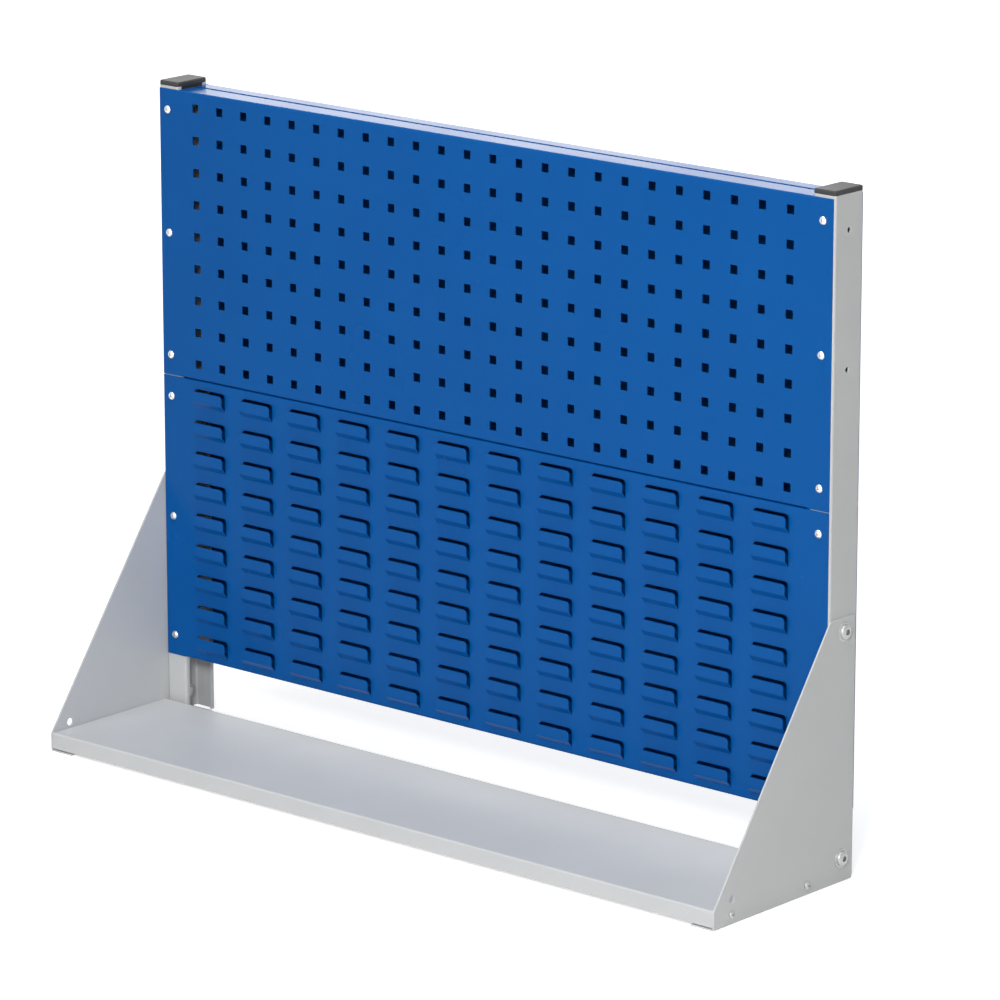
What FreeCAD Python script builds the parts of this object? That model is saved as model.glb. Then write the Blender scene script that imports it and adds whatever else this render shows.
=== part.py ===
import FreeCAD, Part
import math
import os

# Bench stand for small-parts storage: two lipped C posts carry four blue panels,
# two sloping side plates hold the posts up, and a shelf tray joins the side plates.
# Millimetres. X runs along the width, the front faces -Y, and Z is up from the bench.
# The origin is under the middle of the stand, on the bench.
# The left-hand pieces are modelled at -X, and the right-hand ones are their mirror images.

Vector = FreeCAD.Vector

# Grid of the perforated panel
hole_pitch = 38.0
hole_side = 10.0
hole_corner_radius = 0.6
hole_columns = 24
hole_rows = 9

# Panels
panel_length = 26 * hole_pitch
panel_height = 341.0
panel_seam = 1.0
panel_sheet = 1.5
panel_bend_radius = 1.0
deep_flange_depth = 27.5
shallow_flange_depth = 19.5
panel_flange_gap = 1.0
panel_edge_inset = 2.0
panel_bottom_z = 78.5

# Louvres of the lower front panel
louvre_columns = 12
louvre_rows = 9
louvre_pitch_x = 2 * hole_pitch
louvre_pitch_z = 37.6
louvre_offset_x = -2.0
louvre_width = 48.5
louvre_side_slit = 0.2
louvre_standoff = 6.0
louvre_tab_height = 12.3
louvre_slope_height = 7.0
louvre_root_height = 2.0
louvre_top_gap = 1.9
louvre_corner_radius = 5.0
louvre_bend_radius = 0.8
louvre_top_margin = 10.0

# Posts
post_width = 30.0
post_depth = 49.0
post_sheet = 2.0
post_lip = 6.5
post_bend_radius = 1.2
post_top_z = 764.5
side_hole_diameter = 6.0
side_hole_top_z = 725.0
side_hole_spacing = 4 * hole_pitch

# Post caps
cap_head_height = 5.5
cap_head_chamfer = 1.2
cap_plug_depth = 14.0
cap_plug_wall = 1.8
cap_plug_clearance = 0.3

# Side plates
plate_sheet = 2.0
plate_bend_radius = 1.0
plate_depth = 238.5
plate_rear_inset = 5.5
plate_height = 300.0
plate_front_height = 22.0
plate_top_depth = 42.5
plate_corner_radius = 2.0
foot_width = 32.0
plate_hole_diameter = 9.0
plate_hole_front_offset = 30.0
plate_hole_z = 29.0
foot_bend_clearance = 0.4

# Shelf tray
tray_sheet = 1.5
tray_bend_radius = 1.0
tray_top_z = 22.4
tray_front_gap = 0.5
tray_rear_gap = 5.5
tray_corner_gap = 0.6
tray_end_gap = 0.2
tray_screw_z = 12.0
tray_screw_front_offsets = (30.0, 160.0)

# Screws that hold the panels and the tray
screw_diameter = 5.0
screw_length = 12.0
screw_hole_diameter = 5.5
screw_head_diameter = 9.5
screw_head_height = 3.3
screw_head_rim = 1.0
recess_arm_width = 1.1
recess_arm_length = 5.0
recess_depth = 1.9
screw_tip_chamfer = 0.6
panel_screw_spacing = 146.0
thread_clearance = 0.05

# Press-in nuts in the posts
press_nut_shank_diameter = 6.8
press_nut_hole_diameter = 7.0
press_nut_head_diameter = 9.4
press_nut_head_height = 3.8

# Hexagon nuts behind the tray screws
small_nut_width = 8.0
small_nut_height = 4.7

# Bolts that hold the side plates to the posts
bolt_diameter = 10.0
bolt_length = 16.0
bolt_hole_diameter = 10.5
bolt_flange_diameter = 21.9
bolt_flange_height = 1.2
bolt_dome_diameter = 17.5
bolt_head_height = 5.0
bolt_dome_flat_diameter = 8.5
bolt_socket_width = 6.0
bolt_socket_depth = 3.2
bolt_z_positions = (28.0, 284.0)
washer_diameter = 20.0
washer_hole_diameter = 10.5
washer_height = 2.0
bolt_dome_bulge_out = 0.6
bolt_dome_bulge_up = 0.68
bolt_rim_share = 0.6
bolt_tip_chamfer = 1.0
nut_width = 16.0
nut_height = 8.4
nut_bevel_share = 0.6

# How far a cutting shape runs past each face that it goes through
overshoot = 1.0

# Places that follow from the sizes above
plate_rear_to_panel_front = panel_sheet + post_depth - plate_rear_inset
plate_front_to_panel_front = plate_depth - plate_rear_to_panel_front
rear_reach = 2 * panel_sheet + post_depth + screw_head_height
panel_front_y = (plate_front_to_panel_front - rear_reach) / 2
plate_front_y = panel_front_y - plate_front_to_panel_front
plate_rear_y = plate_front_y + plate_depth
post_front_y = panel_front_y + panel_sheet
post_rear_y = post_front_y + post_depth
post_middle_y = post_front_y + post_depth / 2
rear_panel_back_y = post_rear_y + panel_sheet
post_outer_x = panel_length / 2 + panel_edge_inset
post_inner_x = post_outer_x - post_width
post_middle_x = post_outer_x - post_width / 2
plate_outer_x = post_outer_x + plate_sheet
flange_half_length = post_inner_x - panel_flange_gap
panel_bend_outer = panel_bend_radius + panel_sheet
upper_panel_bottom_z = panel_bottom_z + panel_height + panel_seam
tray_front_y = plate_front_y + tray_front_gap
tray_rear_y = post_front_y - tray_rear_gap
tray_half_length = post_outer_x
tray_fold_half_length = tray_half_length - tray_end_gap
above_foot_bend_z = plate_sheet + plate_bend_radius + foot_bend_clearance

# Directions
upward = Vector(0, 0, 1)
frontward = Vector(0, -1, 0)
backward = Vector(0, 1, 0)
outward_left = Vector(-1, 0, 0)
inward_left = Vector(1, 0, 0)


# Box between two opposite corners
def box(low, high):
    size = Vector(*high) - Vector(*low)
    return Part.makeBox(size.x, size.y, size.z, Vector(*low))


# Round bar from a point, along a direction
def bar(diameter, length, start, direction):
    return Part.makeCylinder(diameter / 2, length, start, direction)


# Bar that drills a sheet which starts at a point, and that sticks out on both sides of it
def drill(diameter, thickness, start, direction):
    return bar(diameter, thickness + 2 * overshoot, start - direction * overshoot, direction)


# Edges of a shape that lie flat at a height
def edges_at(shape, z):
    return [edge for edge in shape.Edges if abs(edge.BoundBox.ZMin - z) + abs(edge.BoundBox.ZMax - z) < 0.01]


# Outline in a plane whose corners are rounded: points are (a, b, radius), and place makes each a 3-D point
def rounded_outline(points, place):
    ends = []
    count = len(points)
    for index, (a, b, radius) in enumerate(points):
        corner = Vector(a, b, 0)
        before = Vector(*points[index - 1][:2], 0) - corner
        after = Vector(*points[(index + 1) % count][:2], 0) - corner
        before.normalize()
        after.normalize()
        half_angle = before.getAngle(after) / 2
        tangent = radius / math.tan(half_angle) if radius else 0
        middle = corner
        if radius:
            bisector = before + after
            bisector.normalize()
            middle = corner + bisector * (radius / math.sin(half_angle) - radius)
        ends.append((corner + before * tangent, middle, corner + after * tangent, radius))
    edges = []
    for index, (arc_start, middle, arc_end, radius) in enumerate(ends):
        if radius:
            arc = Part.Arc(*(place(point.x, point.y) for point in (arc_start, middle, arc_end)))
            edges.append(arc.toShape())
        next_start = ends[(index + 1) % count][0]
        if (next_start - arc_end).Length > 1e-6:
            line = Part.LineSegment(place(arc_end.x, arc_end.y), place(next_start.x, next_start.y))
            edges.append(line.toShape())
    return Part.Wire(edges)


# Section of a folded sheet: the points run along one face, and the sheet lies to their left
def folded_section(points, thickness, bend_radius, place):
    path = [Vector(a, b, 0) for a, b in points]
    directions = [(end - start).normalize() for start, end in zip(path, path[1:])]
    normals = [Vector(-direction.y, direction.x, 0) for direction in directions]
    outer = [(path[0], 0)]
    inner = [(path[0] + normals[0] * thickness, 0)]
    for index in range(1, len(path) - 1):
        first, second = normals[index - 1], normals[index]
        mitre = (first + second) * (thickness / (1 + first.dot(second)))
        turns_left = directions[index - 1].cross(directions[index]).z > 0
        left_radius = bend_radius if turns_left else bend_radius + thickness
        right_radius = bend_radius + thickness if turns_left else bend_radius
        outer.append((path[index], right_radius))
        inner.append((path[index] + mitre, left_radius))
    outer.append((path[-1], 0))
    inner.append((path[-1] + normals[-1] * thickness, 0))
    corners = outer + inner[::-1]
    return rounded_outline([(point.x, point.y, radius) for point, radius in corners], place)


# Solid between a closed wire and its copy along a vector
def extruded(wire, along):
    return Part.Face(wire).extrude(along)


# Solid of revolution about +Z from a closed run of edges in the XZ plane
def turned(edges):
    face = Part.Face(Part.Wire(edges))
    return face.revolve(Vector(0, 0, 0), Vector(0, 0, 1), 360)


# Straight edges from point to point (radius, height), in the XZ plane
def straight_edges(points):
    corners = [Vector(radius, 0, height) for radius, height in points]
    return [Part.LineSegment(start, end).toShape() for start, end in zip(corners, corners[1:])]


# Hexagonal bar along +Z, by its width across the flats
def hexagon(width, low_z, high_z):
    corner_radius = width / math.sqrt(3)
    corners = [
        Vector(corner_radius * math.cos(turn), corner_radius * math.sin(turn), low_z)
        for turn in (math.radians(60 * step) for step in range(7))
    ]
    return extruded(Part.makePolygon(corners), Vector(0, 0, high_z - low_z))


# Copy of a shape that was made about +Z, turned to point along a direction and moved to a place
def placed(shape, position, direction):
    rotation = FreeCAD.Rotation(Vector(0, 0, 1), direction)
    moved = shape.copy()
    moved.Placement = FreeCAD.Placement(position, rotation)
    return moved


def mirrored(shape):
    return shape.mirror(Vector(0, 0, 0), Vector(1, 0, 0))


def save(name, shape):
    solids = shape.Solids
    if not all(solid.isValid() for solid in solids):
        print("not valid:", name)
    if len(solids) > 1:
        shape = Part.makeCompound(solids)
    else:
        shape = solids[0]
    shape.exportStep("parts/" + name + ".step")
    print(name, len(solids), "solid(s)", round(shape.Volume / 1000, 2), "cm3")


# Heights of the three screws at each end of a panel
def screw_heights(bottom_z):
    middle = bottom_z + panel_height / 2
    return [middle + step * panel_screw_spacing for step in (-1, 0, 1)]


all_screw_heights = screw_heights(panel_bottom_z) + screw_heights(upper_panel_bottom_z)


# Flat of a panel, without its folds, as an outline in X and Z
def panel_outline(bottom_z, y):
    top_z = bottom_z + panel_height
    half = panel_length / 2
    fold_low = bottom_z + panel_bend_outer
    fold_high = top_z - panel_bend_outer
    right_side = [
        (flange_half_length, fold_low),
        (flange_half_length, bottom_z),
        (half, bottom_z),
        (half, top_z),
        (flange_half_length, top_z),
        (flange_half_length, fold_high),
    ]
    left_side = [(-x, z) for x, z in right_side[::-1]]
    points = [Vector(x, y, z) for x, z in right_side + left_side]
    return Part.makePolygon(points + points[:1])


def square_hole(x, y, z):
    half = hole_side / 2
    signs = ((-1, -1), (1, -1), (1, 1), (-1, 1))
    corners = [(x + a * half, z + b * half, hole_corner_radius) for a, b in signs]
    return rounded_outline(corners, lambda a, b: Vector(a, y, b))


def round_hole(diameter, x, y, z):
    return Part.Wire(Part.makeCircle(diameter / 2, Vector(x, y, z), Vector(0, 1, 0)))


# Panel that lies at y to y + sheet, whose top and bottom edges fold towards inside (+1 is +Y)
def panel(bottom_z, front_y, inside, top_flange_depth, bottom_flange_depth, openings=()):
    cut_wires = list(openings)
    for z in screw_heights(bottom_z):
        for x in (-post_middle_x, post_middle_x):
            cut_wires.append(round_hole(screw_hole_diameter, x, front_y, z))
    outline = panel_outline(bottom_z, front_y)
    flat_face = Part.makeFace([outline] + cut_wires, "Part::FaceMakerBullseye")
    flat = flat_face.extrude(Vector(0, panel_sheet, 0))
    outside_y = front_y if inside > 0 else front_y + panel_sheet
    top_z = bottom_z + panel_height
    folds = []
    for edge_z, inward, flange_depth in ((top_z, -1, top_flange_depth), (bottom_z, 1, bottom_flange_depth)):
        path = [
            (outside_y + inside * flange_depth, edge_z),
            (outside_y, edge_z),
            (outside_y, edge_z + inward * panel_bend_outer),
        ]
        if inside * inward > 0:
            path.reverse()
        wire = folded_section(
            path, panel_sheet, panel_bend_radius, lambda a, b: Vector(-flange_half_length, a, b)
        )
        folds.append(extruded(wire, Vector(2 * flange_half_length, 0, 0)))
    return flat.multiFuse(folds).removeSplitter()


# Front panel, its deep fold at the top
def front_panel(bottom_z, openings):
    return panel(bottom_z, panel_front_y, 1, deep_flange_depth, shallow_flange_depth, openings)


def perforated_panel():
    first_x = -(hole_columns - 1) / 2 * hole_pitch
    first_z = upper_panel_bottom_z + panel_height / 2 - (hole_rows - 1) / 2 * hole_pitch
    openings = []
    for row in range(hole_rows):
        for column in range(hole_columns):
            x = first_x + column * hole_pitch
            z = first_z + row * hole_pitch
            openings.append(square_hole(x, panel_front_y, z))
    return front_panel(upper_panel_bottom_z, openings)


# One lanced tab of the louvre panel, its top edge at z = 0 and its middle at x = 0
def louvre_tab():
    bend_z = -louvre_tab_height
    slope_z = bend_z - louvre_slope_height
    root_z = slope_z - louvre_root_height
    front_y = panel_front_y - louvre_standoff
    path = [(front_y, 0), (front_y, bend_z), (panel_front_y, slope_z), (panel_front_y, root_z)]
    width = louvre_width - 2 * louvre_side_slit
    wire = folded_section(
        path, panel_sheet, louvre_bend_radius, lambda a, b: Vector(-width / 2, a, b)
    )
    tab = extruded(wire, Vector(width, 0, 0))
    top_corners = []
    for edge in tab.Edges:
        middle = edge.CenterOfMass
        along_y = len(edge.Vertexes) == 2 and abs(edge.tangentAt(edge.FirstParameter).y) > 0.999
        if along_y and abs(middle.z) < 0.01 and abs(middle.y - front_y) < panel_sheet:
            top_corners.append(edge)
    return tab.makeFillet(louvre_corner_radius - louvre_side_slit, top_corners)


# Opening that a tab was cut from, in the flat of the panel
def louvre_opening(x, tab_top_z):
    half = louvre_width / 2
    top_z = tab_top_z + louvre_top_gap
    bottom_z = tab_top_z - louvre_tab_height - louvre_slope_height - louvre_root_height
    corners = [
        (x - half, bottom_z, 0),
        (x + half, bottom_z, 0),
        (x + half, top_z, louvre_corner_radius),
        (x - half, top_z, louvre_corner_radius),
    ]
    return rounded_outline(corners, lambda a, b: Vector(a, panel_front_y, b))


def louvre_panel():
    first_x = louvre_offset_x - (louvre_columns - 1) / 2 * louvre_pitch_x
    first_z = panel_bottom_z + panel_height - louvre_top_margin - louvre_top_gap
    tab = louvre_tab()
    openings = []
    tabs = []
    for row in range(louvre_rows):
        for column in range(louvre_columns):
            x = first_x + column * louvre_pitch_x
            z = first_z - row * louvre_pitch_z
            openings.append(louvre_opening(x, z))
            tabs.append(tab.translated(Vector(x, 0, z)))
    return front_panel(panel_bottom_z, openings).multiFuse(tabs)


# Closed panel on the back of the posts, its deep fold at the bottom
def rear_panel(bottom_z):
    return panel(bottom_z, post_rear_y, -1, shallow_flange_depth, deep_flange_depth)


# Holes for the press-in nuts, in one face of the left-hand post
def press_nut_holes(face_y, direction):
    starts = [Vector(-post_middle_x, face_y, z) for z in all_screw_heights]
    return [drill(press_nut_hole_diameter, post_sheet, start, direction) for start in starts]


# Left-hand post: lipped C section, open towards the middle of the stand
def post():
    outer_x = -post_outer_x
    inner_x = -post_inner_x
    path = [
        (inner_x, post_rear_y - post_lip),
        (inner_x, post_rear_y),
        (outer_x, post_rear_y),
        (outer_x, post_front_y),
        (inner_x, post_front_y),
        (inner_x, post_front_y + post_lip),
    ]
    section = folded_section(
        path, post_sheet, post_bend_radius, lambda a, b: Vector(a, b, above_foot_bend_z)
    )
    body = extruded(section, Vector(0, 0, post_top_z - above_foot_bend_z))
    cuts = press_nut_holes(post_front_y, backward) + press_nut_holes(post_rear_y, frontward)
    side_holes = [(bolt_hole_diameter, z) for z in bolt_z_positions]
    side_holes.append((side_hole_diameter, side_hole_top_z))
    side_holes.append((side_hole_diameter, side_hole_top_z - side_hole_spacing))
    for diameter, z in side_holes:
        cuts.append(drill(diameter, post_sheet, Vector(outer_x, post_middle_y, z), inward_left))
    return body.cut(cuts)


# Left-hand plastic cap: a chamfered head on the post's end, and a hollow plug inside the post
def post_cap():
    head_radius = post_bend_radius + post_sheet
    corners = [
        (-post_outer_x, post_front_y, head_radius),
        (-post_inner_x, post_front_y, head_radius),
        (-post_inner_x, post_rear_y, head_radius),
        (-post_outer_x, post_rear_y, head_radius),
    ]
    wire = rounded_outline(corners, lambda a, b: Vector(a, b, post_top_z))
    head = extruded(wire, Vector(0, 0, cap_head_height))
    head = head.makeChamfer(cap_head_chamfer, edges_at(head, post_top_z + cap_head_height))
    inset = post_sheet + cap_plug_clearance
    low = (-post_outer_x + inset, post_front_y + inset, post_top_z - cap_plug_depth)
    high = (-post_inner_x - inset, post_rear_y - inset, post_top_z)
    plug = box(low, high)
    corner_edges = [edge for edge in plug.Edges if abs(edge.tangentAt(0).z) > 0.99]
    plug = plug.makeFillet(post_bend_radius, corner_edges)
    hollow_low = (low[0] + cap_plug_wall, low[1] + cap_plug_wall, low[2] - overshoot)
    hollow_high = (high[0] - cap_plug_wall, high[1] - cap_plug_wall, high[2])
    return head.fuse(plug.cut(box(hollow_low, hollow_high))).removeSplitter()


# Left-hand side plate: a sloping sheet with its foot folded inwards along the bottom
def side_plate():
    top_front_y = plate_rear_y - plate_top_depth
    bend_outer = plate_bend_radius + plate_sheet
    corners = [
        (plate_front_y, bend_outer, 0),
        (plate_rear_y, bend_outer, 0),
        (plate_rear_y, plate_height, plate_corner_radius),
        (top_front_y, plate_height, plate_corner_radius),
        (plate_front_y, plate_front_height, plate_corner_radius),
    ]
    wire = rounded_outline(corners, lambda a, b: Vector(-plate_outer_x, a, b))
    web = extruded(wire, Vector(plate_sheet, 0, 0))
    foot_path = [
        (-plate_outer_x, bend_outer),
        (-plate_outer_x, 0),
        (-plate_outer_x + foot_width, 0),
    ]
    foot_wire = folded_section(
        foot_path, plate_sheet, plate_bend_radius, lambda a, b: Vector(a, plate_front_y, b)
    )
    foot = extruded(foot_wire, Vector(0, plate_depth, 0))
    holes = [(bolt_hole_diameter, post_middle_y, z) for z in bolt_z_positions]
    holes.append((plate_hole_diameter, plate_front_y + plate_hole_front_offset, plate_hole_z))
    for offset in tray_screw_front_offsets:
        holes.append((screw_hole_diameter, plate_front_y + offset, tray_screw_z))
    cuts = []
    for diameter, y, z in holes:
        cuts.append(drill(diameter, plate_sheet, Vector(-plate_outer_x, y, z), inward_left))
    return web.fuse(foot).removeSplitter().cut(cuts)


# Shelf tray: a pan turned upside down, whose folded edges end above the bends of the feet,
# and whose side edges take the screws that hold it between the side plates
def shelf_tray():
    bend_outer = tray_bend_radius + tray_sheet
    deck_low = (-tray_fold_half_length, tray_front_y + bend_outer, tray_top_z - tray_sheet)
    deck_high = (tray_fold_half_length, tray_rear_y - bend_outer, tray_top_z)
    pieces = []
    front_path = [
        (tray_front_y + bend_outer, tray_top_z),
        (tray_front_y, tray_top_z),
        (tray_front_y, above_foot_bend_z),
    ]
    rear_path = [
        (tray_rear_y, above_foot_bend_z),
        (tray_rear_y, tray_top_z),
        (tray_rear_y - bend_outer, tray_top_z),
    ]
    for path in (front_path, rear_path):
        wire = folded_section(
            path, tray_sheet, tray_bend_radius, lambda a, b: Vector(-tray_fold_half_length, a, b)
        )
        pieces.append(extruded(wire, Vector(2 * tray_fold_half_length, 0, 0)))
    side_front_y = tray_front_y + bend_outer + tray_corner_gap
    side_rear_y = tray_rear_y - bend_outer - tray_corner_gap
    side_path = [
        (-tray_half_length + bend_outer, tray_top_z),
        (-tray_half_length, tray_top_z),
        (-tray_half_length, above_foot_bend_z),
    ]
    side_wire = folded_section(
        side_path, tray_sheet, tray_bend_radius, lambda a, b: Vector(a, side_front_y, b)
    )
    side = extruded(side_wire, Vector(0, side_rear_y - side_front_y, 0))
    pieces += [side, mirrored(side)]
    corner_low = (-tray_half_length, side_front_y, tray_top_z - tray_sheet)
    corner_high = (-tray_half_length + bend_outer, side_rear_y, tray_top_z)
    corner = box(corner_low, corner_high)
    deck = box(deck_low, deck_high).cut([corner, mirrored(corner)])
    cuts = []
    for offset in tray_screw_front_offsets:
        start = Vector(-tray_half_length, plate_front_y + offset, tray_screw_z)
        hole = drill(screw_hole_diameter, tray_sheet, start, inward_left)
        cuts += [hole, mirrored(hole)]
    return deck.multiFuse(pieces).removeSplitter().cut(cuts)


# Pan-head screw with a cross recess: the head stands on z = 0, and the shank runs down
def pan_head_screw():
    head_radius = screw_head_diameter / 2
    dome_height = screw_head_height - screw_head_rim
    dome_radius = (head_radius**2 + dome_height**2) / (2 * dome_height)
    half_turn = math.asin(head_radius / dome_radius) / 2
    shoulder = Vector(head_radius, 0, screw_head_rim)
    crown = Vector(0, 0, screw_head_height)
    drop = dome_radius * (1 - math.cos(half_turn))
    halfway = Vector(dome_radius * math.sin(half_turn), 0, screw_head_height - drop)
    rim_points = [(0, screw_head_height), (0, 0), (head_radius, 0), (head_radius, screw_head_rim)]
    outline = straight_edges(rim_points)
    outline.append(Part.Arc(shoulder, halfway, crown).toShape())
    head = turned(outline)
    arms = []
    for size in ((recess_arm_length, recess_arm_width), (recess_arm_width, recess_arm_length)):
        low = (-size[0] / 2, -size[1] / 2, screw_head_height - recess_depth)
        arms.append(box(low, (size[0] / 2, size[1] / 2, screw_head_height + overshoot)))
    shank = bar(screw_diameter, screw_length, Vector(0, 0, -screw_length), upward)
    shank = shank.makeChamfer(screw_tip_chamfer, edges_at(shank, -screw_length))
    return head.fuse(shank).removeSplitter().cut(arms)


# Press-in nut: its shank fills the hole in the sheet at z = 0 to the sheet's thickness
def press_nut():
    shank = bar(press_nut_shank_diameter, post_sheet, Vector(0, 0, 0), upward)
    head = bar(press_nut_head_diameter, press_nut_head_height, Vector(0, 0, post_sheet), upward)
    bore_diameter = screw_diameter + 2 * thread_clearance
    bore = drill(bore_diameter, post_sheet + press_nut_head_height, Vector(0, 0, 0), upward)
    return shank.fuse(head).removeSplitter().cut(bore)


# Hexagon nut on z = 0 with turned-off corners
def hexagon_nut(width, height, thread_diameter):
    corner_radius = width / math.sqrt(3)
    bevel = (corner_radius - width / 2) * nut_bevel_share
    profile = [
        (0, 0),
        (width / 2, 0),
        (corner_radius, bevel),
        (corner_radius, height - bevel),
        (width / 2, height),
        (0, height),
        (0, 0),
    ]
    blank = hexagon(width, 0, height).common(turned(straight_edges(profile)))
    return blank.cut(drill(thread_diameter + 2 * thread_clearance, height, Vector(0, 0, 0), upward))


# Flanged dome-head bolt with a hexagon socket: the flange stands on z = 0, and the shank runs down
def dome_head_bolt():
    flange_radius = bolt_flange_diameter / 2
    dome_radius = bolt_dome_diameter / 2
    flat_radius = bolt_dome_flat_diameter / 2
    rim_height = bolt_rim_share * bolt_flange_height
    outline = straight_edges(
        [
            (flat_radius, bolt_head_height),
            (0, bolt_head_height),
            (0, 0),
            (flange_radius, 0),
            (flange_radius, rim_height),
            (dome_radius, bolt_flange_height),
        ]
    )
    dome_start = Vector(dome_radius, 0, bolt_flange_height)
    dome_end = Vector(flat_radius, 0, bolt_head_height)
    bulge_radius = flat_radius + (dome_radius - flat_radius) * bolt_dome_bulge_out
    bulge_height = bolt_flange_height + (bolt_head_height - bolt_flange_height) * bolt_dome_bulge_up
    outline.append(Part.Arc(dome_start, Vector(bulge_radius, 0, bulge_height), dome_end).toShape())
    head = turned(outline)
    shank = bar(bolt_diameter, bolt_length, Vector(0, 0, -bolt_length), upward)
    shank = shank.makeChamfer(bolt_tip_chamfer, edges_at(shank, -bolt_length))
    socket_low_z = bolt_head_height - bolt_socket_depth
    socket = hexagon(bolt_socket_width, socket_low_z, bolt_head_height + overshoot)
    return head.fuse(shank).removeSplitter().cut(socket)


def washer():
    disc = bar(washer_diameter, washer_height, Vector(0, 0, 0), upward)
    return disc.cut(drill(washer_hole_diameter, washer_height, Vector(0, 0, 0), upward))


# Six screws of one panel, whose heads stand on face_y and point along outward
def panel_screws(bottom_z, face_y, outward):
    screw = pan_head_screw()
    group = []
    for z in screw_heights(bottom_z):
        for x in (-post_middle_x, post_middle_x):
            group.append(placed(screw, Vector(x, face_y, z), outward))
    return Part.makeCompound(group)


# Press-in nuts of the left-hand post, front and back
def post_nuts():
    nut = press_nut()
    group = []
    for z in all_screw_heights:
        group.append(placed(nut, Vector(-post_middle_x, post_front_y, z), backward))
        group.append(placed(nut, Vector(-post_middle_x, post_rear_y, z), frontward))
    return Part.makeCompound(group)


# Copies of a fastener at the two bolts of the left-hand side plate
def at_plate_bolts(fastener, x, direction):
    places = [Vector(x, post_middle_y, z) for z in bolt_z_positions]
    return Part.makeCompound([placed(fastener, place, direction) for place in places])


# Copies of a fastener at the two tray screws of the left-hand side plate
def at_tray_screws(fastener, x, direction):
    places = [Vector(x, plate_front_y + offset, tray_screw_z) for offset in tray_screw_front_offsets]
    return Part.makeCompound([placed(fastener, place, direction) for place in places])


washer_x = -post_outer_x + post_sheet
nut_x = washer_x + washer_height
tray_nut_x = -tray_half_length + tray_sheet

os.makedirs("parts", exist_ok=True)

save("perforated_panel", perforated_panel())
save("louvre_panel", louvre_panel())
save("rear_panel_upper", rear_panel(upper_panel_bottom_z))
save("rear_panel_lower", rear_panel(panel_bottom_z))
save("shelf_tray", shelf_tray())
save("perforated_panel_screws", panel_screws(upper_panel_bottom_z, panel_front_y, frontward))
save("louvre_panel_screws", panel_screws(panel_bottom_z, panel_front_y, frontward))
save("rear_panel_upper_screws", panel_screws(upper_panel_bottom_z, rear_panel_back_y, backward))
save("rear_panel_lower_screws", panel_screws(panel_bottom_z, rear_panel_back_y, backward))

left_hand_pieces = {
    "post": post(),
    "post_cap": post_cap(),
    "post_nuts": post_nuts(),
    "side_plate": side_plate(),
    "plate_bolts": at_plate_bolts(dome_head_bolt(), -plate_outer_x, outward_left),
    "plate_bolt_washers": at_plate_bolts(washer(), washer_x, inward_left),
    "plate_bolt_nuts": at_plate_bolts(hexagon_nut(nut_width, nut_height, bolt_diameter), nut_x, inward_left),
    "tray_screws": at_tray_screws(pan_head_screw(), -plate_outer_x, outward_left),
    "tray_nuts": at_tray_screws(
        hexagon_nut(small_nut_width, small_nut_height, screw_diameter), tray_nut_x, inward_left
    ),
}
for name, shape in left_hand_pieces.items():
    save(name + "_left", shape)
    save(name + "_right", mirrored(shape))
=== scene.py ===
import math

import bmesh
import bpy
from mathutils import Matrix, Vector


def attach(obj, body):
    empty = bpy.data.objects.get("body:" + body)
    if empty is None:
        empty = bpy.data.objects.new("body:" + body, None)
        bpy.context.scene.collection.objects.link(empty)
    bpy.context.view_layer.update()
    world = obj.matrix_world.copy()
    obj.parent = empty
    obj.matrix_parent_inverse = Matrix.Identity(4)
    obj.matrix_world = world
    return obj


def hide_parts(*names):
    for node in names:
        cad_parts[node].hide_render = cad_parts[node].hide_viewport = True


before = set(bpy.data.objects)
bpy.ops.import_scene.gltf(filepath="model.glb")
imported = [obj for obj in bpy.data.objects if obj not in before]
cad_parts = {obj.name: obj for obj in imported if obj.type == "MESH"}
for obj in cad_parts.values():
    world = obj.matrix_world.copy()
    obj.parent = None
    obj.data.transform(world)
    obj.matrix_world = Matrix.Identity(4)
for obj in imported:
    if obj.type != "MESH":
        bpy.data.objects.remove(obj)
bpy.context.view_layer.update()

mm = 0.001
print("stand loaded:", len(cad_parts), "parts")


# Small tools for meshes

meshTools = {
    "cornersPerMetre": 1e5,  # two walls are the same where their corners are, to 0.01 mm
    "weld": 0.004, "solidWeld": 0.002,  # millimetres
    "flatAngle": 0.5, "sharpAngle": 35, "faceWeight": 60,
}
turnedEdges = {"sharpest": 40, "segments": 1}  # leaves the facets of a turned shape alone


def newPiece(name, points, faces):  # points in millimetres
    mesh = bpy.data.meshes.new(name)
    mesh.from_pydata([Vector(point) * mm for point in points], [], faces)
    piece = bpy.data.objects.new(name, mesh)
    bpy.context.scene.collection.objects.link(piece)
    return piece


def bakeModifiers(piece):
    depsgraph = bpy.context.evaluated_depsgraph_get()
    mesh = bpy.data.meshes.new_from_object(
        piece.evaluated_get(depsgraph), preserve_all_data_layers=True, depsgraph=depsgraph
    )
    mesh.name = piece.name
    piece.modifiers.clear()
    piece.data = mesh
    return piece


def joinPieces(name, pieces):
    whole = bmesh.new()
    for piece in pieces:
        whole.from_mesh(piece.data)
        bpy.data.objects.remove(piece)
    mesh = bpy.data.meshes.new(name)
    whole.to_mesh(mesh)
    whole.free()
    piece = bpy.data.objects.new(name, mesh)
    bpy.context.scene.collection.objects.link(piece)
    return piece


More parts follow.
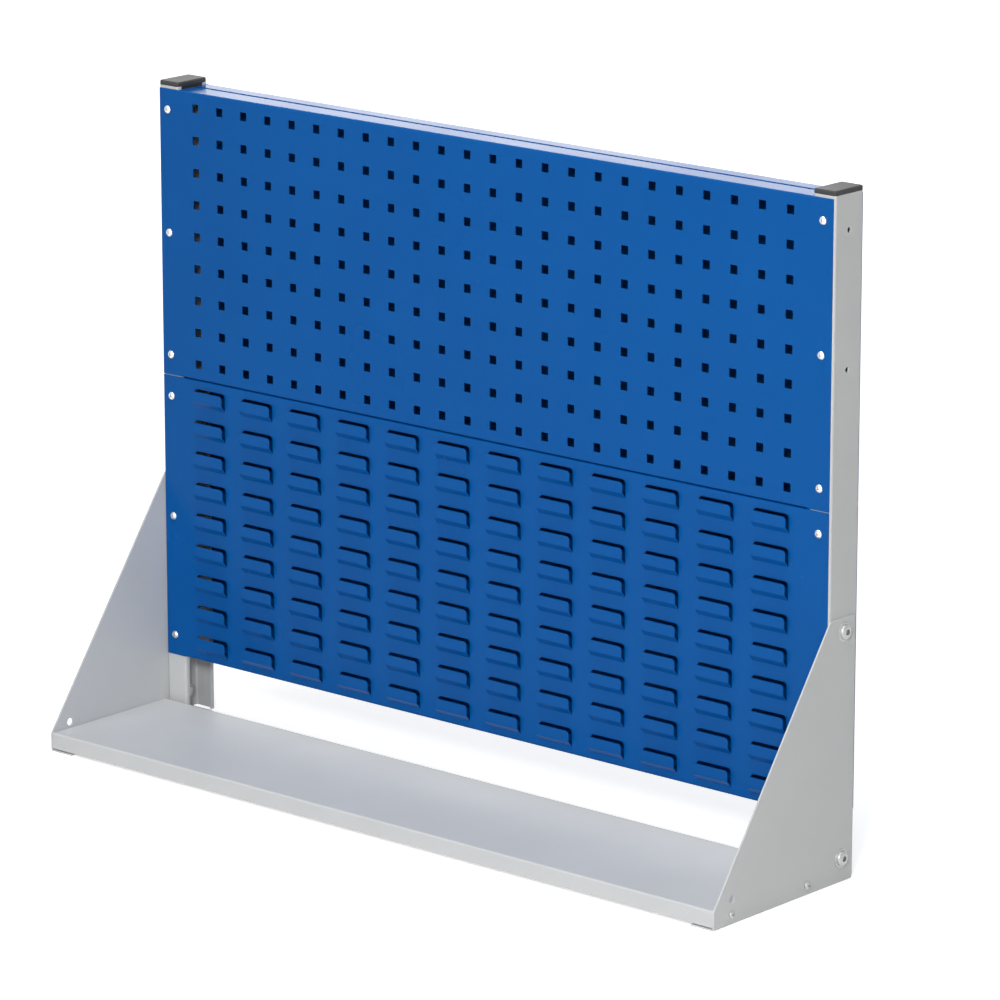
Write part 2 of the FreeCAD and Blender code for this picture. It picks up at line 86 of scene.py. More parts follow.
# Welds a piece. Two walls that lie on each other are one sheet in the real thing, so both go.
def weldPiece(piece):
    whole = bmesh.new()
    whole.from_mesh(piece.data)
    wallsAt = {}
    scale = meshTools["cornersPerMetre"]
    for face in whole.faces:
        corners = frozenset(tuple(round(value * scale) for value in corner.co) for corner in face.verts)
        wallsAt.setdefault(corners, []).append(face)
    doubled = [face for walls in wallsAt.values() if len(walls) > 1 for face in walls]
    bmesh.ops.delete(whole, geom=doubled, context="FACES_ONLY")
    bmesh.ops.remove_doubles(whole, verts=whole.verts, dist=meshTools["weld"] * mm)
    bmesh.ops.recalc_face_normals(whole, faces=whole.faces)
    whole.to_mesh(piece.data)
    whole.free()


# Rounds the sharp edges, and marks the middle of each rounding as "edgeMask" for the painted edge highlight
# of the coats
def softenEdges(piece, width, sharpest=meshTools["sharpAngle"], segments=2):
    whole = bmesh.new()
    whole.from_mesh(piece.data)
    edgeMask = whole.verts.layers.float.new("edgeMask")
    sharp = [edge for edge in whole.edges if edge.calc_face_angle(0) > math.radians(sharpest)]
    rounded = bmesh.ops.bevel(
        whole, geom=sharp, affect="EDGES", offset=width * mm, offset_type="OFFSET", segments=segments,
        profile=0.5, clamp_overlap=False, loop_slide=True, miter_outer="SHARP", miter_inner="SHARP",
    )
    newFaces = set(rounded["faces"])
    for corner in {corner for face in newFaces for corner in face.verts}:
        if all(face in newFaces for face in corner.link_faces):
            corner[edgeMask] = 1.0
    whole.to_mesh(piece.data)
    whole.free()
    piece.data.shade_smooth()
    weighted = piece.modifiers.new("flat faces stay flat", "WEIGHTED_NORMAL")
    weighted.weight = meshTools["faceWeight"]
    bakeModifiers(piece)


# Copy of a part's own solid with its flat faces made whole and its edges rounded. Between edges that
# are nearly in line a rounding runs out into a spike, so every corner is kept in the part's own box.
def softCopy(node, name, width):
    piece = bpy.data.objects.new(name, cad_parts[node].data.copy())
    low = [min(corner.co[axis] for corner in piece.data.vertices) for axis in range(3)]
    high = [max(corner.co[axis] for corner in piece.data.vertices) for axis in range(3)]
    bpy.context.scene.collection.objects.link(piece)
    whole = bmesh.new()
    whole.from_mesh(piece.data)
    bmesh.ops.remove_doubles(whole, verts=whole.verts, dist=meshTools["solidWeld"] * mm)
    bmesh.ops.dissolve_limit(
        whole, angle_limit=math.radians(meshTools["flatAngle"]), verts=whole.verts, edges=whole.edges,
        use_dissolve_boundaries=False,
    )
    whole.to_mesh(piece.data)
    whole.free()
    softenEdges(piece, width)
    for corner in piece.data.vertices:
        corner.co = [min(max(value, least), most) for value, least, most in zip(corner.co, low, high)]
    return piece


# Small tools for node trees

holeSteps = {"corner": 4, "circle": 32}


def addNode(tree, kind, sockets=(), **settings):
    node = tree.nodes.new(kind)
    for name, value in settings.items():
        setattr(node, name, value)
    for key, value in dict(sockets).items():
        socket = node.inputs[key]
        if isinstance(value, bpy.types.NodeSocket):
            tree.links.new(value, socket)
        else:
            socket.default_value = value
    return node


def newShapeTree(name, sockets):
    tree = bpy.data.node_groups.new(name, "GeometryNodeTree")
    tree.is_modifier = True
    tree.interface.new_socket("Geometry", in_out="INPUT", socket_type="NodeSocketGeometry")
    for label, kind in sockets:
        tree.interface.new_socket(label, in_out="INPUT", socket_type="NodeSocket" + kind)
    tree.interface.new_socket("Geometry", in_out="OUTPUT", socket_type="NodeSocketGeometry")
    return tree, tree.nodes.new("NodeGroupInput").outputs


def closeShapeTree(tree, geometry, material):
    realized = addNode(tree, "GeometryNodeRealizeInstances", {"Geometry": geometry})
    painted = addNode(
        tree, "GeometryNodeSetMaterial", {"Geometry": realized.outputs[0], "Material": material}
    )
    tree.links.new(painted.outputs[0], tree.nodes.new("NodeGroupOutput").inputs[0])


def shapeWith(piece, tree, values):
    modifier = piece.modifiers.new(tree.name, "NODES")
    modifier.node_group = tree
    for item in tree.interface.items_tree:
        if item.in_out == "INPUT" and item.name in values:
            modifier[item.identifier] = values[item.name]
    return bakeModifiers(piece)


# Copies of a shape in rows and columns, a step apart
def copiesInRows(tree, shape, first, countAcross, stepAcross, countUp, stepUp):
    across = addNode(
        tree, "GeometryNodeMeshLine", {"Count": countAcross, "Start Location": first, "Offset": stepAcross}
    )
    row = addNode(tree, "GeometryNodeInstanceOnPoints", {"Points": across.outputs[0], "Instance": shape})
    up = addNode(tree, "GeometryNodeMeshLine", {"Count": countUp, "Offset": stepUp})
    rows = addNode(
        tree, "GeometryNodeInstanceOnPoints", {"Points": up.outputs[0], "Instance": row.outputs[0]}
    )
    return addNode(tree, "GeometryNodeRealizeInstances", {"Geometry": rows.outputs[0]}).outputs[0]


# Tree that pierces a sheet: the outline comes in as a loop of edges in X and Y, the holes are set out
# in rows, and the sheet is given its thickness and stood up to face -Y.
def buildPiercedSheetTree():
    tree, given = newShapeTree("piercedSheet", [
        ("Front Y", "Float"), ("Thickness", "Float"),
        ("Hole Width", "Float"), ("Hole Height", "Float"),
        ("Hole Top Radius", "Float"), ("Hole Bottom Radius", "Float"),
        ("First Hole", "Vector"), ("Columns", "Int"), ("Column Step", "Vector"),
        ("Rows", "Int"), ("Row Step", "Vector"),
        ("Screw Hole Radius", "Float"), ("First Screw", "Vector"), ("Screw Column Step", "Vector"),
        ("Screws Up", "Int"), ("Screw Row Step", "Vector"), ("Material", "Material"),
    ])
    outline = addNode(tree, "GeometryNodeMeshToCurve", {"Mesh": given["Geometry"]})
    rectangle = addNode(
        tree, "GeometryNodeCurvePrimitiveQuadrilateral",
        {"Width": given["Hole Width"], "Height": given["Hole Height"]},
    )
    place = addNode(tree, "GeometryNodeInputPosition")
    height = addNode(tree, "ShaderNodeSeparateXYZ", {0: place.outputs[0]})
    isTop = addNode(tree, "FunctionNodeCompare", {0: height.outputs["Y"], 1: 0.0}, data_type="FLOAT")
    radius = addNode(
        tree, "GeometryNodeSwitch",
        {"Switch": isTop.outputs[0], "False": given["Hole Bottom Radius"], "True": given["Hole Top Radius"]},
        input_type="FLOAT",
    )
    hole = addNode(
        tree, "GeometryNodeFilletCurve",
        {
            "Curve": rectangle.outputs[0], "Radius": radius.outputs[0],
            "Count": holeSteps["corner"], "Limit Radius": True,
        },
        mode="POLY",
    )
    holes = copiesInRows(
        tree, hole.outputs[0], given["First Hole"],
        given["Columns"], given["Column Step"], given["Rows"], given["Row Step"],
    )
    screwHole = addNode(
        tree, "GeometryNodeCurvePrimitiveCircle",
        {"Resolution": holeSteps["circle"], "Radius": given["Screw Hole Radius"]}, mode="RADIUS",
    )
    screwHoles = copiesInRows(
        tree, screwHole.outputs[0], given["First Screw"], 2, given["Screw Column Step"],
        given["Screws Up"], given["Screw Row Step"],
    )
    curves = addNode(tree, "GeometryNodeJoinGeometry")
    for curve in (outline.outputs[0], holes, screwHoles):
        tree.links.new(curve, curves.inputs[0])
    face = addNode(tree, "GeometryNodeFillCurve", {"Curve": curves.outputs[0]}, mode="TRIANGLES")
    negative = addNode(tree, "ShaderNodeMath", {0: given["Thickness"], 1: -1.0}, operation="MULTIPLY")
    inward = addNode(tree, "ShaderNodeCombineXYZ", {"Z": negative.outputs[0]})
    walls = addNode(
        tree, "GeometryNodeExtrudeMesh",
        {"Mesh": face.outputs[0], "Offset": inward.outputs[0], "Offset Scale": 1.0, "Individual": False},
        mode="FACES",
    )
    sheet = addNode(tree, "GeometryNodeJoinGeometry")
    for part in (face.outputs[0], walls.outputs[0]):
        tree.links.new(part, sheet.inputs[0])
    front = addNode(tree, "ShaderNodeCombineXYZ", {"Y": given["Front Y"]})
    upright = (math.radians(90), 0.0, 0.0)
    stood = addNode(
        tree, "GeometryNodeTransform",
        {"Geometry": sheet.outputs[0], "Translation": front.outputs[0], "Rotation": upright},
    )
    closeShapeTree(tree, stood.outputs[0], given["Material"])
    return tree


# Tree that sets out copies of one louvre tab, screw or bolt in rows and columns
def buildRowsTree():
    tree, given = newShapeTree("rowsOfCopies", [
        ("First", "Vector"), ("Count Across", "Int"), ("Step Across", "Vector"),
        ("Count Up", "Int"), ("Step Up", "Vector"), ("Material", "Material"),
    ])
    copies = copiesInRows(
        tree, given["Geometry"], given["First"], given["Count Across"], given["Step Across"],
        given["Count Up"], given["Step Up"],
    )
    closeShapeTree(tree, copies, given["Material"])
    return tree


piercedSheetTree = buildPiercedSheetTree()
rowsTree = buildRowsTree()


def vectorOf(x=0.0, y=0.0, z=0.0):
    return (x * mm, y * mm, z * mm)


# Finishes

skinNoise = {
    "peelDetail": 1.5, "grainDetail": 2.0, "toneDetail": 3.0, "glossDetail": 4.0,
    "grainShare": 0.25, "glossShift": (0.37, 0.11, 0.53), "spread": (0.3, 0.7),
}
# edgeNoise breaks up the painted edge highlight
edgeNoise = {"scale": 60.0, "detail": 2.0, "breakup": (0.35, 0.6)}
coatScales = {"drift": 7.0, "bumpDistance": 0.00006}
zincScales = {"peel": 900.0, "grain": 4200.0, "drift": 160.0, "ringShare": 0.12, "bumpDistance": 0.00004}


def addNoise(tree, place, scale, detail):
    return addNode(tree, "ShaderNodeTexNoise", {"Vector": place, "Scale": scale, "Detail": detail}).outputs[0]


# Even skin of a sprayed finish: Height for the bump, Tone and Gloss as slow changes from 0 to 1
def buildSkinGroup():
    tree = bpy.data.node_groups.new("sprayedSkin", "ShaderNodeTree")
    for label in ("Peel Scale", "Grain Scale", "Drift Scale"):
        tree.interface.new_socket(label, in_out="INPUT", socket_type="NodeSocketFloat")
    for label in ("Height", "Tone", "Gloss"):
        tree.interface.new_socket(label, in_out="OUTPUT", socket_type="NodeSocketFloat")
    given = tree.nodes.new("NodeGroupInput").outputs
    result = tree.nodes.new("NodeGroupOutput").inputs
    place = addNode(tree, "ShaderNodeTexCoord").outputs["Object"]
    peel = addNoise(tree, place, given["Peel Scale"], skinNoise["peelDetail"])
    grain = addNoise(tree, place, given["Grain Scale"], skinNoise["grainDetail"])
    tone = addNoise(tree, place, given["Drift Scale"], skinNoise["toneDetail"])
    shifted = addNode(tree, "ShaderNodeVectorMath", {0: place, 1: skinNoise["glossShift"]}, operation="ADD")
    gloss = addNoise(tree, shifted.outputs[0], given["Drift Scale"], skinNoise["glossDetail"])
    fine = addNode(tree, "ShaderNodeMath", {0: grain, 1: skinNoise["grainShare"]}, operation="MULTIPLY")
    height = addNode(tree, "ShaderNodeMath", {0: peel, 1: fine.outputs[0]}, operation="ADD")
    tree.links.new(height.outputs[0], result["Height"])
    low, high = skinNoise["spread"]
    for noise, label in ((tone, "Tone"), (gloss, "Gloss")):
        spread = addNode(tree, "ShaderNodeMapRange", {"Value": noise, "From Min": low, "From Max": high})
        tree.links.new(spread.outputs[0], result[label])
    return tree


# A lighter line painted along each folded or cut edge: a painted highlight for the light a rounded edge
# catches, and partly the thinner coat there. It comes from the mark that softenEdges leaves
def buildEdgeGroup():
    tree = bpy.data.node_groups.new("edgeHighlightAndThinCoat", "ShaderNodeTree")
    tree.interface.new_socket("Breakup Scale", in_out="INPUT", socket_type="NodeSocketFloat")
    tree.interface.new_socket("Mask", in_out="OUTPUT", socket_type="NodeSocketFloat")
    given = tree.nodes.new("NodeGroupInput").outputs
    result = tree.nodes.new("NodeGroupOutput").inputs
    place = addNode(tree, "ShaderNodeTexCoord").outputs["Object"]
    noise = addNoise(tree, place, given["Breakup Scale"], edgeNoise["detail"])
    low, high = edgeNoise["breakup"]
    broken = addNode(tree, "ShaderNodeMapRange", {"Value": noise, "From Min": low, "From Max": high})
    mark = addNode(tree, "ShaderNodeAttribute", attribute_name="edgeMask").outputs["Fac"]
    mask = addNode(tree, "ShaderNodeMath", {0: mark, 1: broken.outputs[0]}, operation="MULTIPLY")
    tree.links.new(mask.outputs[0], result["Mask"])
    return tree


skinGroup = buildSkinGroup()
edgeHighlightAndThinCoatGroup = buildEdgeGroup()

# "edge" is a lighter colour painted along the rounded edges: a painted highlight, and partly the thinner coat
# there
finishes = {
    "blueCoat": {
        "color": (0.0016, 0.0890, 0.332), "darker": (0.0012, 0.0830, 0.315), "edge": (0.012, 0.125, 0.40),
        "roughness": (0.22, 0.28), "specular": 0.08, "peelScale": 620.0, "grainScale": 2600.0, "bump": 0.16,
    },
    "greyCoat": {
        "color": (0.575, 0.585, 0.585), "darker": (0.545, 0.555, 0.557), "edge": (0.70, 0.71, 0.71),
        "roughness": (0.42, 0.50), "specular": 0.32, "peelScale": 620.0, "grainScale": 2600.0, "bump": 0.16,
    },
    "darkPlastic": {
        "color": (0.045, 0.045, 0.046), "darker": (0.039, 0.039, 0.040), "edge": (0.075, 0.075, 0.077),
        "roughness": (0.42, 0.52), "specular": 0.26, "peelScale": 1500.0, "grainScale": 5200.0, "bump": 0.30,
    },
}


def mixedColor(tree, factor, first, second):
    mix = addNode(tree, "ShaderNodeMix", data_type="RGBA", blend_type="MIX")
    for socket, value in ((mix.inputs[0], factor), (mix.inputs[6], first), (mix.inputs[7], second)):
        if isinstance(value, bpy.types.NodeSocket):
            tree.links.new(value, socket)
        else:
            socket.default_value = (*value, 1.0)
    return mix.outputs[2]


def buildCoat(name, look):
    material = bpy.data.materials.new(name)
    material.use_nodes = True
    tree = material.node_tree
    shader = tree.nodes["Principled BSDF"]
    skin = addNode(tree, "ShaderNodeGroup", node_tree=skinGroup)
    skin.inputs["Peel Scale"].default_value = look["peelScale"]
    skin.inputs["Grain Scale"].default_value = look["grainScale"]
    skin.inputs["Drift Scale"].default_value = coatScales["drift"]
    edge = addNode(tree, "ShaderNodeGroup", node_tree=edgeHighlightAndThinCoatGroup)
    edge.inputs["Breakup Scale"].default_value = edgeNoise["scale"]
    body = mixedColor(tree, skin.outputs["Tone"], look["color"], look["darker"])
    # painted highlight along the rounded edges, and partly the thinner coat there
    color = mixedColor(tree, edge.outputs["Mask"], body, look["edge"])
    tree.links.new(color, shader.inputs["Base Color"])
    gloss = addNode(
        tree, "ShaderNodeMapRange",
        {"Value": skin.outputs["Gloss"], "To Min": look["roughness"][0], "To Max": look["roughness"][1]},
    )
    tree.links.new(gloss.outputs[0], shader.inputs["Roughness"])
    shader.inputs["Specular IOR Level"].default_value = look["specular"]
    bump = addNode(
        tree, "ShaderNodeBump",
        {"Strength": look["bump"], "Distance": coatScales["bumpDistance"], "Height": skin.outputs["Height"]},
    )
    tree.links.new(bump.outputs[0], shader.inputs["Normal"])
    return material


zincLooks = {
    "bright": {
        "cool": (0.66, 0.69, 0.73), "warm": (0.74, 0.72, 0.66), "roughness": (0.20, 0.34),
        "ringWidth": 0.00022, "bump": 0.25,
    },
    "dull": {
        "cool": (0.40, 0.41, 0.42), "warm": (0.46, 0.455, 0.44), "roughness": (0.36, 0.48),
        "ringWidth": 0.00030, "bump": 0.30,
    },
}


# Plated steel. "aroundAxis" is the place on one screw or bolt, so the turning rings follow each head.
def buildZinc(name, look):
    material = bpy.data.materials.new(name)
    material.use_nodes = True
    tree = material.node_tree
    shader = tree.nodes["Principled BSDF"]
    skin = addNode(tree, "ShaderNodeGroup", node_tree=skinGroup)
    skin.inputs["Peel Scale"].default_value = zincScales["peel"]
    skin.inputs["Grain Scale"].default_value = zincScales["grain"]
    skin.inputs["Drift Scale"].default_value = zincScales["drift"]
    color = mixedColor(tree, skin.outputs["Tone"], look["cool"], look["warm"])
    tree.links.new(color, shader.inputs["Base Color"])
    shader.inputs["Metallic"].default_value = 1.0
    gloss = addNode(
        tree, "ShaderNodeMapRange",
        {"Value": skin.outputs["Gloss"], "To Min": look["roughness"][0], "To Max": look["roughness"][1]},
    )
    tree.links.new(gloss.outputs[0], shader.inputs["Roughness"])
    local = addNode(tree, "ShaderNodeAttribute", attribute_name="aroundAxis").outputs["Vector"]
    flatPlace = addNode(tree, "ShaderNodeVectorMath", {0: local, 1: (1.0, 1.0, 0.0)}, operation="MULTIPLY")
    reach = addNode(tree, "ShaderNodeVectorMath", {0: flatPlace.outputs[0]}, operation="LENGTH")
    perMetre = 2 * math.pi / look["ringWidth"]
    turns = addNode(tree, "ShaderNodeMath", {0: reach.outputs["Value"], 1: perMetre}, operation="MULTIPLY")
    rings = addNode(tree, "ShaderNodeMath", {0: turns.outputs[0]}, operation="SINE").outputs[0]
    soft = addNode(tree, "ShaderNodeMath", {0: rings, 1: zincScales["ringShare"]}, operation="MULTIPLY")
    height = addNode(tree, "ShaderNodeMath", {0: soft.outputs[0], 1: skin.outputs["Height"]}, operation="ADD")
    bump = addNode(
        tree, "ShaderNodeBump",
        {"Strength": look["bump"], "Distance": zincScales["bumpDistance"], "Height": height.outputs[0]},
    )
    tree.links.new(bump.outputs[0], shader.inputs["Normal"])
    return material


blueCoat = buildCoat("bluePowderCoat", finishes["blueCoat"])
greyCoat = buildCoat("greyPowderCoat", finishes["greyCoat"])
darkPlastic = buildCoat("darkPlastic", finishes["darkPlastic"])
brightZinc = buildZinc("brightZincPlate", zincLooks["bright"])
dullZinc = buildZinc("dullZincPlate", zincLooks["dull"])
print("finishes made")


def dress(piece, material, slot, *nodes):
    piece.data.materials.clear()
    piece.data.materials.append(material)
    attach(piece, "root")
    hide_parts(*nodes)


# Folded sheets

# Both faces of a folded sheet as lists of points: the path runs along one face, the sheet lies to its left
def foldedFaces(path, thickness, bendRadius, steps):
    points = [Vector(point) for point in path]
    along = [(end - start).normalized() for start, end in zip(points, points[1:])]
    left = [Vector((-step.y, step.x)) for step in along]
    faces = [(points[0], points[0] + left[0] * thickness)]
    for index in range(1, len(points) - 1):
        before, after = along[index - 1], along[index]
        turnsLeft = before.x * after.y - before.y * after.x > 0
        angle = before.angle(after)
        pathRadius = bendRadius + thickness if turnsLeft else bendRadius
        reach = pathRadius * math.tan(angle / 2)
        side = 1 if turnsLeft else -1
        centre = points[index] - before * reach + left[index - 1] * (side * pathRadius)
        for step in range(steps + 1):
            turned = left[index - 1].copy()
            turn = side * angle * step / steps
            turned = Vector((
                turned.x * math.cos(turn) - turned.y * math.sin(turn),
                turned.x * math.sin(turn) + turned.y * math.cos(turn),
            ))
            onPath = centre - turned * (side * pathRadius)
            faces.append((onPath, onPath + turned * thickness))
    faces.append((points[-1], points[-1] + left[-1] * thickness))
    return faces


# Strip of folded sheet from -halfLength to halfLength along X, its section in Y and Z
def foldedStrip(name, path, thickness, bendRadius, halfLength, steps):
    faces = foldedFaces(path, thickness, bendRadius, steps)
    points = []
    for front, back in faces:
        for x in (-halfLength, halfLength):
            points += [(x, *front), (x, *back)]
    walls = []
    for index in range(len(faces) - 1):
        low, high = 4 * index, 4 * index + 4
        walls.append((low, low + 2, high + 2, high))
        walls.append((low + 1, high + 1, high + 3, low + 3))
        walls.append((low, high, high + 1, low + 1))
        walls.append((low + 2, low + 3, high + 3, high + 2))
    last = 4 * len(faces) - 4
    walls += [(0, 1, 3, 2), (last, last + 2, last + 3, last + 1)]
    return newPiece(name, points, walls)


# Blue panels

panelSizes = {
    "frontY": 69.1, "rearY": 119.6, "sheet": 1.5, "bendRadius": 1.0, "bendSteps": 5, "edgeRounding": 0.28,
    "halfLength": 494.0, "height": 341.0, "upperBottom": 420.5, "lowerBottom": 78.5,
    "deepFlange": 27.5, "shallowFlange": 19.5, "flangeHalfLength": 465.0,
    "screwX": 481.0, "screwSpacing": 146.0, "screwHoleRadius": 2.75, "screwsUp": 3,
}
squareHoles = {"side": 10.0, "cornerRadius": 0.6, "pitch": 38.0, "columns": 24, "rows": 9}
louvreSizes = {
    "columns": 12, "rows": 9, "pitchX": 76.0, "pitchZ": 37.6, "offsetX": -2.0,
    "width": 48.5, "sideSlit": 0.2, "standoff": 6.0, "tabHeight": 12.3, "slopeHeight": 7.0, "rootHeight": 2.0,
    "topGap": 1.9, "topMargin": 10.0, "cornerRadius": 5.0, "cornerSteps": 6,
    "bendRadius": 0.8, "bendSteps": 4,
}


def panelBlank(name, bottom):  # outline in X and Y, as the tree wants it
    sizes = panelSizes
    top = bottom + sizes["height"]
    fold = sizes["bendRadius"] + sizes["sheet"]
    half, flange = sizes["halfLength"], sizes["flangeHalfLength"]
    right = [(flange, bottom + fold), (flange, bottom), (half, bottom)]
    right += [(half, top), (flange, top), (flange, top - fold)]
    outline = right + [(-x, z) for x, z in right[::-1]]
    count = len(outline)
    edges = [(i, (i + 1) % count) for i in range(count)]
    piece = newPiece(name, [], [])
    piece.data.from_pydata([vectorOf(x, z) for x, z in outline], edges, [])
    return piece


# A panel on the posts: inside is 1 for a front panel and -1 for a rear one, whose folds point forwards.
# A front panel has its deep fold at the top, a rear one at the bottom.
def makePanel(name, bottom, frontY, inside, pattern, extras=()):
    sizes = panelSizes
    middle = bottom + sizes["height"] / 2
    values = {
        "Front Y": frontY * mm, "Thickness": sizes["sheet"] * mm,
        "Screw Hole Radius": sizes["screwHoleRadius"] * mm,
        "First Screw": vectorOf(-sizes["screwX"], middle - sizes["screwSpacing"]),
        "Screw Column Step": vectorOf(2 * sizes["screwX"]),
        "Screws Up": sizes["screwsUp"], "Screw Row Step": vectorOf(0, sizes["screwSpacing"]),
        "Material": blueCoat,
    }
    values.update(pattern)
    flat = shapeWith(panelBlank(name + "Flat", bottom), piercedSheetTree, values)
    fold = sizes["bendRadius"] + sizes["sheet"]
    outsideY = frontY if inside > 0 else frontY + sizes["sheet"]
    flangeDepths = [sizes["deepFlange"], sizes["shallowFlange"]][::inside]
    parts = [flat]
    for edgeZ, inward, flangeDepth in zip((bottom + sizes["height"], bottom), (-1, 1), flangeDepths):
        path = [
            (outsideY + inside * flangeDepth, edgeZ),
            (outsideY, edgeZ),
            (outsideY, edgeZ + inward * fold),
        ]
        if inside * inward > 0:
            path.reverse()
        parts.append(foldedStrip(
            name + "Fold", path, sizes["sheet"], sizes["bendRadius"],
            sizes["flangeHalfLength"], sizes["bendSteps"],
        ))
    piece = joinPieces(name, parts + list(extras))
    weldPiece(piece)
    softenEdges(piece, sizes["edgeRounding"])
    return piece


def squarePattern(bottom):
    holes = squareHoles
    middle = bottom + panelSizes["height"] / 2
    return {
        "Hole Width": holes["side"] * mm, "Hole Height": holes["side"] * mm,
        "Hole Top Radius": holes["cornerRadius"] * mm, "Hole Bottom Radius": holes["cornerRadius"] * mm,
        "First Hole": vectorOf(
            -(holes["columns"] - 1) / 2 * holes["pitch"], middle - (holes["rows"] - 1) / 2 * holes["pitch"]
        ),
        "Columns": holes["columns"], "Column Step": vectorOf(holes["pitch"]),
        "Rows": holes["rows"], "Row Step": vectorOf(0, holes["pitch"]),
    }


# One louvre: its top edge at z = 0, its root as wide as the opening so that it grows out of the sheet
def louvreTab():
    sizes = louvreSizes
    frontY, sheet = panelSizes["frontY"], panelSizes["sheet"]
    tabY = frontY - sizes["standoff"]
    bend = -sizes["tabHeight"]
    slope = bend - sizes["slopeHeight"]
    root = slope - sizes["rootHeight"]
    path = [(tabY, 0), (tabY, bend), (frontY, slope), (frontY, root)]
    faces = foldedFaces(path, sheet, sizes["bendRadius"], sizes["bendSteps"])
    half = sizes["width"] / 2 - sizes["sideSlit"]
    radius = sizes["cornerRadius"] - sizes["sideSlit"]
    rows = []
    steps = sizes["cornerSteps"]
    for step in range(steps + 1):
        turn = math.pi / 2 * step / steps
        z = -radius * (1 - math.cos(turn))
        rows.append((half - radius * (1 - math.sin(turn)), Vector((tabY, z)), Vector((tabY + sheet, z))))
    rows += [(half, front, back) for front, back in faces[1:-1]]
    rows.append((sizes["width"] / 2, *faces[-1]))
    points = []
    for reach, front, back in rows:
        points += [(-reach, *front), (reach, *front), (-reach, *back), (reach, *back)]
    walls = [(0, 2, 3, 1)]
    for index in range(len(rows) - 1):
        top, low = 4 * index, 4 * index + 4
        walls += [
            (top, top + 1, low + 1, low), (top + 2, low + 2, low + 3, top + 3),
            (top, low, low + 2, top + 2), (top + 1, top + 3, low + 3, low + 1),
        ]
    last = 4 * len(rows) - 4
    walls.append((last, last + 1, last + 3, last + 2))
    return newPiece("louvreTab", points, walls)


def louvrePattern(bottom):
    sizes = louvreSizes
    openingHeight = sizes["topGap"] + sizes["tabHeight"] + sizes["slopeHeight"] + sizes["rootHeight"]
    openingTop = bottom + panelSizes["height"] - sizes["topMargin"]
    firstX = sizes["offsetX"] - (sizes["columns"] - 1) / 2 * sizes["pitchX"]
    pattern = {
        "Hole Width": sizes["width"] * mm, "Hole Height": openingHeight * mm,
        "Hole Top Radius": sizes["cornerRadius"] * mm, "Hole Bottom Radius": 0.0,
        "First Hole": vectorOf(firstX, openingTop - openingHeight / 2),
        "Columns": sizes["columns"], "Column Step": vectorOf(sizes["pitchX"]),
        "Rows": sizes["rows"], "Row Step": vectorOf(0, -sizes["pitchZ"]),
    }
    tabs = shapeWith(louvreTab(), rowsTree, {
        "First": vectorOf(firstX, 0, openingTop - sizes["topGap"]),
        "Count Across": sizes["columns"], "Step Across": vectorOf(sizes["pitchX"]),
        "Count Up": sizes["rows"], "Step Up": vectorOf(0, 0, -sizes["pitchZ"]), "Material": blueCoat,
    })
    return pattern, tabs


upper, lower = panelSizes["upperBottom"], panelSizes["lowerBottom"]
noHoles = {"Columns": 0, "Rows": 0, "Hole Width": 0.01, "Hole Height": 0.01}
perforatedPanel = makePanel("perforatedPanel", upper, panelSizes["frontY"], 1, squarePattern(upper))
dress(perforatedPanel, blueCoat, "blue_powder_coat", "perforated_panel")
louvreHoles, louvreTabs = louvrePattern(lower)
louvrePanel = makePanel("louvrePanel", lower, panelSizes["frontY"], 1, louvreHoles, [louvreTabs])
dress(louvrePanel, blueCoat, "blue_powder_coat", "louvre_panel")
for node, bottom in (("rear_panel_upper", upper), ("rear_panel_lower", lower)):
    name = "rearPanelUpper" if bottom == upper else "rearPanelLower"
    dress(makePanel(name, bottom, panelSizes["rearY"], -1, noHoles), blueCoat, "blue_powder_coat", node)
print("panels made")


# Posts, side plates, shelf and caps

greyParts = {
    "post_left": "postLeft", "post_right": "postRight",
    "side_plate_left": "sidePlateLeft", "side_plate_right": "sidePlateRight", "shelf_tray": "shelfTray",
}
greyEdgeRounding = 0.3
capEdgeRounding = 0.35
for node, name in greyParts.items():
    dress(softCopy(node, name, greyEdgeRounding), greyCoat, "grey_powder_coat", node)
for side in ("left", "right"):
    cap = softCopy("post_cap_" + side, "postCap" + side.capitalize(), capEdgeRounding)
    dress(cap, darkPlastic, "dark_plastic", "post_cap_" + side)
print("posts, plates, shelf and caps made")


# Screws and bolts

screwSizes = {
    "diameter": 5.0, "length": 12.0, "tipChamfer": 0.6,
    "headDiameter": 9.5, "headHeight": 3.3, "headRim": 1.0,
    "recessLength": 5.2, "recessWidth": 1.15, "recessDepth": 1.9, "recessTaper": 0.5, "edgeRounding": 0.12,
    "domeSteps": 8, "sides": 40,
}
boltSizes = {
    "diameter": 10.0, "length": 16.0, "flangeDiameter": 21.9, "flangeHeight": 1.2, "domeDiameter": 17.5,
    "headHeight": 5.0, "flatDiameter": 8.5, "socketWidth": 6.0, "socketDepth": 3.2, "tipChamfer": 1.0,
    "rimInset": 0.3, "rimDrop": 0.35, "rimShare": 0.6,  # the flange's bevelled rim
    "domeFoot": 0.15, "edgeRounding": 0.18, "domeSteps": 7, "sides": 48,
}
recessOverlap = 0.6  # how far the recess's tool stands out of the head
fastenerPlaces = {
    "panelScrews": {"x": 481.0, "spacing": 146.0, "frontY": 69.1, "rearY": 121.1},
    "plateBolts": {"x": 498.0, "y": 95.1, "heights": (28.0, 284.0)},
    "trayScrews": {"x": 498.0, "z": 12.0, "y": (-94.4, 35.6)},
}


